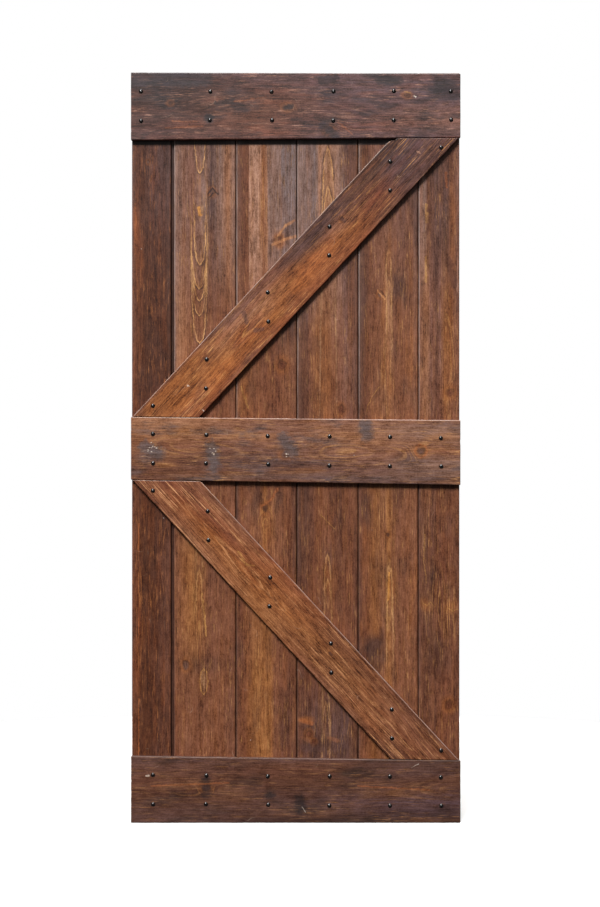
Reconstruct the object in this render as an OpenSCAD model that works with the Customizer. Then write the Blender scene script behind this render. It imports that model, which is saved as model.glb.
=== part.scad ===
// Sliding barn door slab. Six tongued and grooved boards stand side by side,
// and three rails and two braces lie across their front in the shape of a K.
// Round-headed screws hold the rails and braces to the boards.
//
// Millimetres, +Z up. The front faces -Y. The origin is the middle of the
// door's lower edge, halfway through its depth.

/* [Door] */
// Height of the door
door_h = 2134; // [1750:1:2600]
// Width across the six boards
field_w = 933; // [775:1:1300]

/* [Boards] */
// Thickness of the boards
board_t = 20; // [16:0.5:30]
// Visible widths of the four inner boards, from the left
inner_board_w = [176, 172.5, 173.5, 170]; // [130:0.5:180]
// How much wider the last board is than the first
edge_board_difference = 4; // [-20:1:20]
// Gap between the shoulders of neighbouring boards
seam_gap = 1.2; // [0.6:0.1:3]
// Gap beside the first board, which has opened
open_gap = 8; // [0.6:0.1:8]
// Bevel along the long edges that meet another board
seam_bevel = 3.5; // [1:0.5:4]
// Bevel along the door's own two long edges
outer_bevel = 1; // [0.5:0.5:4]
// Thickness of the tongues
tongue_t = 6; // [4:0.5:8]
// How far a tongue stands out of its board
tongue_l = 12; // [10:0.5:14]
// Clearance on each side of a tongue in its groove
tongue_fit = 0.25; // [0.1:0.05:0.6]
// How much deeper a groove is than its tongue is long
groove_spare = 1.5; // [0.5:0.5:4]

/* [Rails] */
// Thickness of the rails and the braces
rail_t = 18; // [14:0.5:24]
// How far each rail end stands past the boards
rail_overhang = 2; // [0:0.5:20]
// Radius along the front edges of the rails, at their ends and along their length
rail_ease = [2, 3]; // [0.5:0.5:6]
// Height of the top rail at its left and right end
top_rail_h = [193, 182.5]; // [120:0.5:260]
// How far the top rail lies below the boards' ends, at its left and right end
top_rail_fall = [0.5, 4]; // [0:0.5:6]
// Height of the middle rail at its left and right end
middle_rail_h = [179, 184.5]; // [120:0.5:260]
// Height of the middle rail's centre above the door's lower edge
middle_rail_z = 1058.5; // [900:0.5:1200]
// How much lower the middle rail's right end is than its left end
middle_rail_fall = 12; // [-20:0.5:20]
// Height of the bottom rail at its left and right end
bottom_rail_h = [190, 177.5]; // [120:0.5:260]

/* [Braces] */
// Width of the braces across their grain
brace_w = 140; // [90:1:180]
// Distance from the boards' outer edge to the tips of a brace
brace_inset = 3; // [0:0.5:30]
// Gap between the end of a brace and the rail it meets
brace_fit = 0.8; // [0.3:0.1:3]
// Radius along the front edges of the braces, at their ends and along their length
brace_ease = [1.5, 2.2]; // [0.5:0.1:5]
// Length and depth of the chip missing from the upper brace's top corner
brace_chip = [17, 5.5]; // [2:0.5:30]

/* [Screws] */
// Diameter of a screw head
head_d = 12; // [9:0.5:15]
// Height of the straight rim of a head
head_rim = 0.7; // [0.3:0.1:1.5]
// Height of the dome of a head above its rim
head_dome = 2.7; // [1.5:0.1:4]
// Diameter of a screw shank
shank_d = 4.2; // [3:0.1:6]
// Length of a screw under its head
screw_l = 32; // [28:0.5:34]
// Length of a screw's tapered point
point_l = 5; // [3:0.5:8]
// Clearance around a shank in its hole
shank_fit = 0.1; // [0.05:0.05:0.4]
// Length, width and depth of each arm of the drive recess
recess = [6, 1.3, 1.9]; // [0.5:0.1:8]
// Height between the two rows of screws on a rail
row_gap = 82; // [50:1:100]
// Place of the two screws where a brace crosses an inner board, as a share of
// the brace's height there, from either long edge
brace_screw_share = 0.3; // [0.15:0.01:0.4]
// How far the screws sit right of the middle of their board
screw_shift = 4; // [0:0.5:15]
// The same distance on the lower brace
lower_brace_shift = 9; // [0:0.5:15]
// The same distance on the inner boards of the top rail
top_inner_shift = 15; // [0:0.5:20]
// Distance of the top rail's outermost screws from its ends
top_end_inset = 28; // [15:0.5:40]
// How far a hand-placed screw strays from its row
stray = 2; // [0:0.5:4]

/* [Hidden] */
$fn = 48;

// Room that a cutting shape takes past the surface it cuts
over = 1;

BOARDS = 6;
FIRST = 0;
LAST = BOARDS - 1;

// Depths along Y, from the front to the back
head_h = head_rim + head_dome;
door_d = head_h + rail_t + board_t;
rail_face_y = head_h - door_d / 2;
board_face_y = rail_face_y + rail_t;
back_y = board_face_y + board_t;
tongue_y = board_face_y + board_t / 2;

// Widths of all boards and the gaps between them, from the left
function total(list, i = 0) = i == len(list) ? 0 : list[i] + total(list, i + 1);
gaps = [open_gap, seam_gap, seam_gap, seam_gap, seam_gap];
edge_boards_w = field_w - total(inner_board_w) - total(gaps);
first_board_w = (edge_boards_w - edge_board_difference) / 2;
last_board_w = (edge_boards_w + edge_board_difference) / 2;
board_w = concat([first_board_w], inner_board_w, [last_board_w]);

function board_left(i) =
    i == FIRST ? -field_w / 2 : board_left(i - 1) + board_w[i - 1] + gaps[i - 1];
function board_right(i) = board_left(i) + board_w[i];
function board_middle(i) = board_left(i) + board_w[i] / 2;

// Rails: each edge is a pair of heights, at the left and the right end
rail_w = field_w + 2 * rail_overhang;
top_rail_top = door_h * [1, 1] - top_rail_fall;
top_rail_under = top_rail_top - top_rail_h;
middle_rail_centre = middle_rail_z * [1, 1] + middle_rail_fall * [0.5, -0.5];
middle_rail_top = middle_rail_centre + middle_rail_h / 2;
middle_rail_under = middle_rail_centre - middle_rail_h / 2;
bottom_rail_top = bottom_rail_h;
bottom_rail_under = [0, 0];

function edge_slope(edge) = (edge[1] - edge[0]) / rail_w;
function edge_z(edge, x) = (edge[0] + edge[1]) / 2 + edge_slope(edge) * x;

// Corners of a rail, clockwise as seen from the front
function rail_corners(top, under) = [
    [-rail_w / 2, under[0]],
    [-rail_w / 2, top[0]],
    [rail_w / 2, top[1]],
    [rail_w / 2, under[1]]
];

// Braces: a straight board whose two opposite tips lie in opposite corners of
// the bay between two rails. It starts at the left on the rail edge `near` and
// ends at the right on the rail edge `beyond`.
brace_reach = field_w / 2 - brace_inset;

function rise(near, beyond) = sign(edge_z(beyond, 0) - edge_z(near, 0));
function start_tip(near, beyond) =
    [-brace_reach, edge_z(near, -brace_reach) + rise(near, beyond) * brace_fit];
function end_tip(near, beyond) =
    [brace_reach, edge_z(beyond, brace_reach) - rise(near, beyond) * brace_fit];
function brace_angle(near, beyond) =
    let (span = end_tip(near, beyond) - start_tip(near, beyond))
    atan2(abs(span[1]), span[0]) + asin(brace_w / norm(span));
function brace_along(near, beyond) =
    let (angle = brace_angle(near, beyond))
    [cos(angle), rise(near, beyond) * sin(angle)];
// Where a line from `start` along `way` comes to a rail edge raised by `lift`
function meet(start, way, edge, lift) =
    start + way * (edge_z(edge, start[0]) + lift - start[1])
    / (way[1] - edge_slope(edge) * way[0]);
// Corners of a brace: its two long edges run 0 to 1 and 3 to 2
function brace_corners(near, beyond) =
    let (
        start = start_tip(near, beyond),
        end = end_tip(near, beyond),
        along = brace_along(near, beyond),
        lift = rise(near, beyond) * brace_fit
    )
    [start, meet(start, along, beyond, -lift), end, meet(end, along, near, lift)];

upper_corners = brace_corners(middle_rail_top, top_rail_under);
lower_corners = brace_corners(middle_rail_under, bottom_rail_top);

// Height at x of the straight line through two points
function line_z(a, b, x) = a[1] + (b[1] - a[1]) * (x - a[0]) / (b[0] - a[0]);

// Screw places as [x, z]. Each strays a little, by its number in its group.
function strayed(spots) = [
    for (i = [0:len(spots) - 1])
        spots[i] + stray / 2 * [sin(137 * i + 20), sin(101 * i + 70)]
];
function row_z(top, under, x, side) =
    (edge_z(top, x) + edge_z(under, x)) / 2 + side * row_gap / 2;
function rail_spots(top, under, columns) = strayed([
    for (side = [1, -1], x = columns) [x, row_z(top, under, x, side)]
]);
// Height at x on a brace: share 0 lies on its long edge 3 to 2 and share 1 on
// its long edge 0 to 1, or on the rail where that cuts the brace short
function brace_z(c, near, beyond, x, share) =
    let (
        way = rise(near, beyond),
        first = way * min(way * line_z(c[0], c[1], x), way * edge_z(beyond, x)),
        second = way * max(way * line_z(c[3], c[2], x), way * edge_z(near, x))
    )
    second + (first - second) * share;
// One screw in each outer board and two in each inner one
function brace_spots(c, near, beyond, shift) =
    let (
        outer = [for (i = [FIRST, LAST]) board_middle(i) + screw_shift],
        inner = [for (i = [FIRST + 1:LAST - 1]) board_middle(i) + shift]
    )
    strayed(concat(
        [for (x = outer) [x, brace_z(c, near, beyond, x, 0.5)]],
        [
            for (share = [brace_screw_share, 1 - brace_screw_share], x = inner)
                [x, brace_z(c, near, beyond, x, share)]
        ]
    ));

columns = [for (i = [FIRST:LAST]) board_middle(i) + screw_shift];
top_end_x = rail_w / 2 - top_end_inset;
top_columns = concat(
    [-top_end_x],
    [for (i = [FIRST + 1:LAST - 1]) board_middle(i) + top_inner_shift],
    [top_end_x]
);

top_rail_spots = rail_spots(top_rail_top, top_rail_under, top_columns);
middle_rail_spots = rail_spots(middle_rail_top, middle_rail_under, columns);
bottom_rail_spots = rail_spots(bottom_rail_top, bottom_rail_under, columns);
upper_brace_spots =
    brace_spots(upper_corners, middle_rail_top, top_rail_under, screw_shift);
lower_brace_spots =
    brace_spots(lower_corners, middle_rail_under, bottom_rail_top, lower_brace_shift);
all_spots = concat(
    top_rail_spots, middle_rail_spots, bottom_rail_spots,
    upper_brace_spots, lower_brace_spots
);

// Section of a board, seen from above, with its bevels
module board_blank(left, right, left_bevel, right_bevel) {
    polygon([
        [left + left_bevel, board_face_y],
        [right - right_bevel, board_face_y],
        [right, board_face_y + right_bevel],
        [right, back_y - right_bevel],
        [right - right_bevel, back_y],
        [left + left_bevel, back_y],
        [left, back_y - left_bevel],
        [left, board_face_y + left_bevel]
    ]);
}

module board_section(i) {
    left = board_left(i);
    right = board_right(i);
    groove_d = tongue_l + groove_spare;
    groove_t = tongue_t + 2 * tongue_fit;
    difference() {
        union() {
            board_blank(
                left, right,
                i == FIRST ? outer_bevel : seam_bevel,
                i == LAST ? outer_bevel : seam_bevel
            );
            if (i < LAST)
                translate([right - over, tongue_y - tongue_t / 2])
                    square([tongue_l + over, tongue_t]);
        }
        if (i > FIRST)
            translate([left - over, tongue_y - groove_t / 2])
                square([groove_d + over, groove_t]);
    }
}

// Holes for the screws at `spots`, from in front of the face at `front` to
// `depth` behind it
module drill(spots, front, depth) {
    for (spot = spots)
        translate([spot[0], front + depth, spot[1]])
            rotate([90, 0, 0])
                cylinder(h = depth + over, d = shank_d + 2 * shank_fit);
}

// The screws that come through this board or through its tongue
module board(i) {
    from = board_left(i) - shank_d;
    to = board_right(i) + (i < LAST ? tongue_l : 0) + shank_d;
    spots = [for (spot = all_spots) if (spot[0] > from && spot[0] < to) spot];
    tones = ["#6e4236", "#875a3c", "#7d5039", "#744636", "#7a4c38", "#704739"];
    color(tones[i])
        difference() {
            linear_extrude(height = door_h) board_section(i);
            drill(spots, board_face_y, screw_l - rail_t + over);
        }
}

// What is planed off a front edge, in three facets that follow a quarter round.
// X is the distance in from the edge, Y the height above the boards. The outer
// facets run on past the faces that they cut.
module edge_waste(ease) {
    arc = [
        for (turn = [0:30:90])
            [ease, rail_t - ease] + ease * [-sin(turn), cos(turn)]
    ];
    polygon([
        2 * arc[0] - arc[1],
        arc[1],
        arc[2],
        2 * arc[3] - arc[2],
        [-ease, rail_t + ease]
    ]);
}

// A flat piece on the face of the boards, with all its front edges eased.
// Corners are [x, z], clockwise as seen from the front. The two radii take
// turns around the outline, and the first is that of the first edge.
module eased_panel(corners, eases) {
    count = len(corners);
    past_corner = 4 * max(eases);
    translate([0, board_face_y, 0])
        difference() {
            rotate([90, 0, 0]) linear_extrude(height = rail_t) polygon(corners);
            for (i = [0:count - 1]) {
                from = corners[i];
                to = corners[(i + 1) % count];
                run = to - from;
                translate([from[0], 0, from[1]])
                    rotate([0, atan2(run[0], run[1]), 0])
                        translate([0, 0, -past_corner])
                            mirror([0, 1, 0])
                                linear_extrude(height = norm(run) + 2 * past_corner)
                                    edge_waste(eases[i % 2]);
            }
        }
}

module top_rail() {
    color("#64483f")
        difference() {
            eased_panel(rail_corners(top_rail_top, top_rail_under), rail_ease);
            drill(top_rail_spots, rail_face_y, rail_t + over);
        }
}

module middle_rail() {
    color("#7a5548")
        difference() {
            eased_panel(rail_corners(middle_rail_top, middle_rail_under), rail_ease);
            drill(middle_rail_spots, rail_face_y, rail_t + over);
        }
}

module bottom_rail() {
    color("#5f3d32")
        difference() {
            eased_panel(rail_corners(bottom_rail_top, bottom_rail_under), rail_ease);
            drill(bottom_rail_spots, rail_face_y, rail_t + over);
        }
}

// What has broken off the brace's top corner, a sliver with one slanting end
module brace_chip_cut() {
    corner = upper_corners[1];
    slant = brace_chip[1];
    translate([corner[0], board_face_y + over, corner[1]])
        rotate([90, 0, 0])
            linear_extrude(height = rail_t + 2 * over)
                polygon([
                    [-brace_chip[0], -brace_chip[1]],
                    [brace_chip[0] - slant, -brace_chip[1]],
                    [brace_chip[0] + over, over],
                    [-brace_chip[0], over]
                ]);
}

module upper_brace() {
    color("#8b5233")
        difference() {
            eased_panel(upper_corners, [brace_ease[1], brace_ease[0]]);
            brace_chip_cut();
            drill(upper_brace_spots, rail_face_y, rail_t + over);
        }
}

module lower_brace() {
    color("#8f5432")
        difference() {
            eased_panel([for (i = [0, 3, 2, 1]) lower_corners[i]], brace_ease);
            drill(lower_brace_spots, rail_face_y, rail_t + over);
        }
}

// A screw along Z, with the underside of its head at z = 0
module screw() {
    head_r = head_d / 2;
    dome_r = (head_r * head_r + head_dome * head_dome) / (2 * head_dome);
    difference() {
        rotate_extrude()
            union() {
                square([head_r, head_rim]);
                intersection() {
                    translate([0, head_h - dome_r]) circle(r = dome_r);
                    square([head_r, head_h]);
                }
            }
        for (turn = [0, 90])
            rotate([0, 0, turn])
                translate([-recess[0] / 2, -recess[1] / 2, head_h - recess[2]])
                    cube([recess[0], recess[1], recess[2] + over]);
    }
    translate([0, 0, point_l - screw_l]) cylinder(h = screw_l - point_l, d = shank_d);
    translate([0, 0, -screw_l]) cylinder(h = point_l, d1 = shank_d / 8, d2 = shank_d);
}

module screws(spots) {
    color("#1f1c1d")
        for (spot = spots)
            translate([spot[0], rail_face_y, spot[1]])
                rotate([90, 0, 0])
                    screw();
}

board(0);  // board_1
board(1);  // board_2
board(2);  // board_3
board(3);  // board_4
board(4);  // board_5
board(5);  // board_6
top_rail();
middle_rail();
bottom_rail();
upper_brace();
lower_brace();
screws(top_rail_spots);  // top_rail_screws
screws(middle_rail_spots);  // middle_rail_screws
screws(bottom_rail_spots);  // bottom_rail_screws
screws(upper_brace_spots);  // upper_brace_screws
screws(lower_brace_spots);  // lower_brace_screws
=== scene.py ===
"""Sliding barn door slab: stained pine boards, rails and braces, and black screws.

Metres, +Z up, and the front faces -Y. Every piece is modelled here over the
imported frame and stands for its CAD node. Wood has its own axes: u runs along
the grain, v across it and w into the piece.
"""

import math
import random

import bmesh
import bpy
import numpy as np
from mathutils import Matrix, Vector


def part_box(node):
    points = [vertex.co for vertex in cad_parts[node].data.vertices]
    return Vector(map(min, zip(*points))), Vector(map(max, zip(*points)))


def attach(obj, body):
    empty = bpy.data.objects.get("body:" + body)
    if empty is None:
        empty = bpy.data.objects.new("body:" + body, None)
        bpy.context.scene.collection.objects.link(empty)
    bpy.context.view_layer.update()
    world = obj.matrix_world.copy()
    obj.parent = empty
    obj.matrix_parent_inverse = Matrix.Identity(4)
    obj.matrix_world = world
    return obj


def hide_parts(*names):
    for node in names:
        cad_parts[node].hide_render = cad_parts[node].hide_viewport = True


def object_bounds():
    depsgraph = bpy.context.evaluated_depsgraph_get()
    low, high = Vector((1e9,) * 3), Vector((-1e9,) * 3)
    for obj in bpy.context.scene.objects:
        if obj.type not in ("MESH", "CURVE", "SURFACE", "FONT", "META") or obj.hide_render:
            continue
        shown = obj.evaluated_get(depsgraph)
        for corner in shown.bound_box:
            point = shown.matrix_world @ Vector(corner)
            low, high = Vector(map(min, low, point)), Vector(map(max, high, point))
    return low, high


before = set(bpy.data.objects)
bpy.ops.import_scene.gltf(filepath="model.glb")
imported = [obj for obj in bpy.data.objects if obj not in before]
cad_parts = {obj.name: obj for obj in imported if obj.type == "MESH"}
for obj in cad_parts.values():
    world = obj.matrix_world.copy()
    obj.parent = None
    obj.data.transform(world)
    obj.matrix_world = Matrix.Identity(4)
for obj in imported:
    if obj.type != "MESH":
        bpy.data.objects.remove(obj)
cad_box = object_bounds()

# Sizes that the frame's boxes don't give, as the part has them
SEAM_BEVEL = 0.0035
OUTER_BEVEL = 0.001
TONGUE = (0.012, 0.006)
GROOVE = (0.0135, 0.0065)
RAIL_EASE = (0.002, 0.003)
BRACE_EASE = (0.0015, 0.0022)
BRACE_W = 0.140
BRACE_CHIP = (0.017, 0.0055)
HEAD_R = 0.006
HEAD_RIM = 0.0007
HEAD_DOME = 0.0027
SHANK_R = 0.0021
HEAD_EASE = 0.0003
RECESS_HALF = (0.0031, 0.00068)
RECESS_DEPTH = 0.0019
SCREW_L = 0.032
POINT_L = 0.005
POINT_BLUNT = (0.0006, 0.0008)
BACK_BEVEL = 0.0015
CORNER_BLUNT = 0.0022
FACE_DIP = 0.00025
PANEL_DIP = 0.00012

DOOR_LOW, DOOR_HIGH = cad_box
BOARD_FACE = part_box("board_1")[0].y
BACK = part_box("board_1")[1].y
RAIL_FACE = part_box("middle_rail")[0].y
TONGUE_Y = (BOARD_FACE + BACK) / 2
BOARDS = 6

# Spacing of the mesh along and across a piece
STEP_ALONG = 0.006
STEP_ACROSS = 0.005

# The camera's lens in mm and place, squarely in front of the door
CAMERA_LENS = 83.8
CAMERA_PLACE = (0.0122, RAIL_FACE - 6.0, 1.050)


# ---------------------------------------------------------------- small maths

def wobble(t, seed, wave):
    """A smooth random swing between about -1 and 1 along t, in waves of `wave` and shorter."""
    draw = random.Random(seed)
    total = np.zeros_like(t, dtype=float)
    for octave in range(4):
        length = wave * 0.47 ** octave * draw.uniform(0.9, 1.1)
        total += 0.55 ** octave * np.sin(math.tau * t / length + draw.uniform(0, math.tau))
    return total / 2


def through(points, t, soft=0.05):
    """Straight lines through (place, value) points, with their corners rounded."""
    places, values = zip(*points)
    shifts = np.linspace(-soft, soft, 9)
    return np.mean([np.interp(t + shift, places, values) for shift in shifts], axis=0)


def spots(u, v, places):
    """How much of the soft oval spots (u, v, half length, half width, strength) lies at u, v."""
    total = np.zeros_like(u)
    for at_u, at_v, half_u, half_v, strength in places:
        bend = half_v * 0.5 * wobble(u, at_u, max(4 * half_u, 0.2))
        far = ((u - at_u) / half_u) ** 2 + ((v - at_v - bend) / half_v) ** 2
        total += strength * np.exp(-far ** 1.5)
    return np.clip(total, 0, 1)


def tint(code):
    """Linear colour of a #rrggbb code."""
    levels = [int(code[i:i + 2], 16) / 255 for i in (1, 3, 5)]
    linear = [x / 12.92 if x < 0.04045 else ((x + 0.055) / 1.055) ** 2.4 for x in levels]
    return (*linear, 1.0)


# ------------------------------------------------------------------- finishes

class Field:
    """A value over a surface: a node's output that can be reckoned with."""

    def __init__(self, shader, socket):
        self.shader = shader
        self.socket = socket

    def __add__(self, other):
        return self.shader.math("ADD", self, other)

    def __sub__(self, other):
        return self.shader.math("SUBTRACT", self, other)

    def __mul__(self, other):
        return self.shader.math("MULTIPLY", self, other)

    def __truediv__(self, other):
        return self.shader.math("DIVIDE", self, other)

    def __pow__(self, other):
        return self.shader.math("POWER", self, other)

    def __abs__(self):
        return self.shader.math("ABSOLUTE", self)

    def at_most(self, top):
        return self.shader.math("MINIMUM", self, top)

    def at_least(self, bottom):
        return self.shader.math("MAXIMUM", self, bottom)


class Shader:
    """Adds nodes to a new material."""

    def __init__(self, name):
        self.material = bpy.data.materials.new(name)
        self.material.use_nodes = True
        self.tree = self.material.node_tree
        self.tree.nodes.clear()

    def node(self, kind, feeds, **settings):
        node = self.tree.nodes.new("ShaderNode" + kind)
        for name, value in settings.items():
            setattr(node, name, value)
        for key, value in feeds.items():
            if isinstance(value, Field):
                self.tree.links.new(value.socket, node.inputs[key])
            else:
                node.inputs[key].default_value = value
        return node

    def add(self, kind, feeds, out=0, **settings):
        """Adds a node and returns one of its outputs."""
        return Field(self, self.node(kind, feeds, **settings).outputs[out])

    def math(self, operation, *values):
        return self.add("Math", dict(enumerate(values)), operation=operation)

    def vector(self, operation, *values, out=0):
        return self.add("VectorMath", dict(enumerate(values)), out=out, operation=operation)

    def split(self, vector):
        return [Field(self, part) for part in self.node("SeparateXYZ", {0: vector}).outputs]

    def attribute(self, name, out="Vector"):
        return self.add("Attribute", {}, out=out, attribute_name=name)

    def noise(self, place, size, detail=2.0, roughness=0.5):
        """Noise around 0.5 whose waves are `size` metres along u, v and w."""
        stretched = self.vector("MULTIPLY", place, [1 / x for x in size])
        feeds = {"Vector": stretched, "Scale": 1.0, "Detail": detail, "Roughness": roughness}
        return self.add("TexNoise", feeds)

    def fade(self, value, low, high, start=0.0, end=1.0):
        """Goes smoothly from start to end while value goes from low to high."""
        feeds = {
            "Value": value, "From Min": low, "From Max": high, "To Min": start, "To Max": end
        }
        return self.add("MapRange", feeds, interpolation_type="SMOOTHSTEP")

    def mix(self, share, first, second, blend="MIX"):
        feeds = {0: share, 6: first, 7: second}
        return self.add("Mix", feeds, out=2, data_type="RGBA", blend_type=blend)

    def ramp(self, share, stops):
        """A colour for each share, from (share, colour) stops in rising order."""
        node = self.node("ValToRGB", {0: share})
        elements = node.color_ramp.elements
        for extra in stops[2:]:
            elements.new(extra[0])
        for element, (at, colour) in zip(elements, stops):
            element.position, element.color = at, colour
        return Field(self, node.outputs[0])

    def length(self, first, second):
        return self.math("SQRT", first * first + second * second)

    def finish(self, **feeds):
        """Puts the surface together and returns the material."""
        names = {name.replace("_", " "): value for name, value in feeds.items()}
        surface = self.add("BsdfPrincipled", names)
        self.node("OutputMaterial", {"Surface": surface})
        return self.material


class Grain:
    """The axes of a piece of wood: u along, v across and w into it, from an origin."""

    def __init__(self, along, across, origin=(0, 0, 0)):
        self.u = Vector(along).normalized()
        self.v = Vector(across).normalized()
        self.w = self.u.cross(self.v)
        self.origin = Vector(origin)

    def local(self, points):
        """u and v of an array of points."""
        from_origin = points - np.array(self.origin)
        return from_origin @ np.array(self.u), from_origin @ np.array(self.v)

    def place(self, s):
        """u, v and w of the point being shaded."""
        turn = Matrix((self.u, self.v, self.w))
        feeds = {
            "Vector": s.add("TexCoord", {}, out="Object"),
            "Rotation": turn.to_euler("XYZ"),
            "Location": -(turn @ self.origin),
        }
        return s.add("Mapping", feeds)


STAINS = {
    "soot": "#38241f", "plum": "#5a3e39", "umber": "#57362a", "cocoa": "#653d2d",
    "russet": "#73432d", "chestnut": "#7a4b35", "rose": "#7f5546", "clay": "#835239",
    "sienna": "#885430", "amber": "#925c33", "rust": "#96592d", "tan": "#9c6a4c",
    "brick": "#7d4228", "flame": "#a8612f", "mauve": "#7a6562", "bark": "#522d1c",
    "wine": "#5c3a35", "sand": "#ae816a", "grape": "#584043", "haze": "#86675c",
    "copper": "#a45f35", "honey": "#d19048", "ochre": "#bb884c", "peach": "#c08456",
    "peat": "#48281f", "char": "#2b2122", "smoke": "#362b30", "slate": "#5f5251",
    "bone": "#e2d0c0",
}
KNOT_CORES = {"red": "#5a2f20", "grey": "#5b4742", "dark": "#33201b"}
KNOT_GLOW = "#96592d"
KNOT_CIRCLES = "#7d4b33"
KNOT_RIM = "#24140f"
SCRATCH = "#b59a86"
CHIP = "#c9bab0"
# Colour of the painted shadow in the corner below the top rail
PAINTED_RAIL_SHADOW = "#140a08"
# Grime in the back joints, and painted shade on the shaded bevels, open seams and lower edges
GRIME_AND_SHADE = "#1c100d"


def stain(s, u, v, sway, span, stripes):
    """The stain's own colour: stripes along the grain, different from place to place along u.
    Each place is (u, "share across the piece and stain, ...")."""
    share = (v + sway * 0.006 - span[0]) * (1 / (span[1] - span[0]))
    colour, before = None, None
    for at_u, text in stripes:
        stops = [stop.split() for stop in text.split(",")]
        here = s.ramp(share, [(float(at), tint(STAINS[name])) for at, name in stops])
        colour = here if colour is None else s.mix(s.fade(u, before, at_u), colour, here)
        before = at_u
    return colour


def knot_parts(s, u, v, ripple, knot):
    """Distance from a knot's middle, in knot radii, and its part along u."""
    at_u, at_v, radius, stretch, _ = knot
    du = (u - at_u) * (1 / (radius * stretch))
    dv = (v - at_v) * (1 / radius)
    return s.length(du, dv) + (ripple - 0.5) * 1.1, du


def ring_field(s, place, look, drift, knots):
    """Growth rings counted from the heart of the tree, bent around the knots."""
    _, v, w = s.split(place)
    heart_v, heart_w, _ = s.split(s.attribute("heart"))
    ripple = s.noise(place, (0.03, 0.012, 0.012), 3) - 0.5
    sway = drift * look["sway"] + ripple * 0.005
    side = v - heart_v + sway
    into = w + heart_w
    radius = s.length(side, into)
    for far, _, knot in knots:
        swell = s.math("EXPONENT", far * far * 0.22 * -1.0)
        radius = radius + swell * (1.7 * knot[2])
    count = radius * (1 / look["ring"])
    uneven = s.add("TexNoise", {"W": count, "Scale": 0.43, "Detail": 2.0}, noise_dimensions="1D")
    return count + uneven * 2.2


def ring_lines(s, place, rings, figure):
    """Pale latewood lines and dark ones beside them, unequal from ring to ring, clear only
    where the wood has figure."""
    part = s.math("FRACT", rings)
    pale = s.fade(part, 0.45, 0.78) * s.fade(part, 0.86, 0.98, 1.0, 0.0)
    dark = s.fade(part, 0.15, 0.5) * s.fade(part, 0.5, 0.62, 1.0, 0.0)
    weight = s.add("TexWhiteNoise", {"W": s.math("FLOOR", rings)}, noise_dimensions="1D")
    patchy = s.fade(s.noise(place, (0.09, 0.02, 0.02), 3), 0.36, 0.6, 0.3, 1.0)
    weight = s.fade(weight, 0.0, 1.0, 0.35, 1.0) * patchy * figure
    return pale * weight, dark * weight


def flames(s, place, drift, ripple, rows):
    """Nested pointed arches of latewood: a pale line with a dark one outside it, for each tip.
    A row is (v, way its tips point along u, half width, sharpness, fill, strength, [tips' u])."""
    u, v, _ = s.split(place)
    gold, dark, inside = 0.0, 0.0, 0.0
    bend = drift * 0.012 + (ripple - 0.5) * 0.008
    patchy = s.fade(s.noise(place, (0.05, 0.02, 0.02), 2), 0.35, 0.55, 0.35, 1.0)
    for at_v, way, half, sharp, filled, strength, tips in rows:
        side = abs(v - at_v + bend) * (1 / half)
        steep = side ** 3.0
        back = (side * 0.7 + steep * side) * (sharp * half)
        slope = (steep * 4.0 + 0.7) * sharp
        steepness = s.math("SQRT", slope * slope + 1.0)
        reach = u * way + back
        fades = s.fade(side, 1.3, 2.2, strength, 0.0) * patchy
        for tip in tips:
            legs = fades * s.fade(u * way - way * tip, -0.27, -0.12)
            off = (reach - way * tip) / steepness
            line = s.fade(abs(off), 0.0007, 0.0023, 1.0, 0.0)
            gold = s.math("MAXIMUM", gold, line * legs)
            outer = s.fade(abs(off - 0.0029), 0.0006, 0.0022, 1.0, 0.0)
            dark = s.math("MAXIMUM", dark, outer * legs)
        behind = reach - way * tips[0]
        within = s.fade(behind, -0.004, 0.001, filled, 0.0) * s.fade(behind, -0.35, -0.15)
        inside = s.math("MAXIMUM", inside, within * fades)
    return gold, dark, inside


def paint_marks(s, colour, place, ripple, marks):
    """Streaks, smudges and chips: (stain, half width in mm, strength, path, ...), where a path
    is the (u, v) points that a stroke goes through."""
    flat = s.vector("MULTIPLY", place, (1, 1, 0))
    bend = ripple - 0.5
    flat = s.vector("ADD", flat, s.add("CombineXYZ", {1: bend * 0.008}))
    stretches = [
        (name, half / 1000, strength, *ends)
        for name, half, strength, *paths in marks for path in paths for ends in zip(path, path[1:])
    ]
    for name, half, strength, start, end in stretches:
        start = Vector((*start, 0))
        way = Vector((*end, 0)) - start
        off = s.vector("SUBTRACT", flat, start)
        along = s.vector("DOT_PRODUCT", off, way / way.length_squared, out=1)
        feeds = {0: way, "Scale": s.add("Clamp", {0: along})}
        nearest = s.add("VectorMath", feeds, operation="SCALE")
        far = s.vector("DISTANCE", off, nearest, out=1) + bend * (1.5 * half)
        here = s.fade(far, 0.35 * half, 1.2 * half, strength, 0.0)
        colour = s.mix(here, colour, tint(STAINS[name]))
    return colour


def paint_knots(s, colour, knots):
    """Knots: a faintly ringed core with a dark crescent beside it and a glow all round."""
    for far, du, knot in knots:
        colour = s.mix(s.fade(far, 0.95, 2.6, 1.0, 0.0) * 0.5, colour, tint(KNOT_GLOW))
        circles = s.fade(s.math("SINE", far * 15.0), -1.0, 1.0, 0.0, 0.5)
        ringed = s.mix(circles, tint(KNOT_CORES[knot[4]]), tint(KNOT_CIRCLES))
        colour = s.mix(s.fade(far, 0.5, 1.2, 0.85, 0.0), colour, ringed)
        rim = s.fade(far, 0.6, 0.95) * s.fade(far, 1.0, 1.4, 1.0, 0.0)
        rim = rim * s.fade(du, -0.6, 0.7, 0.25, 1.0)
        colour = s.mix(rim * 0.45, colour, tint(KNOT_RIM))
    return colour


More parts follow.
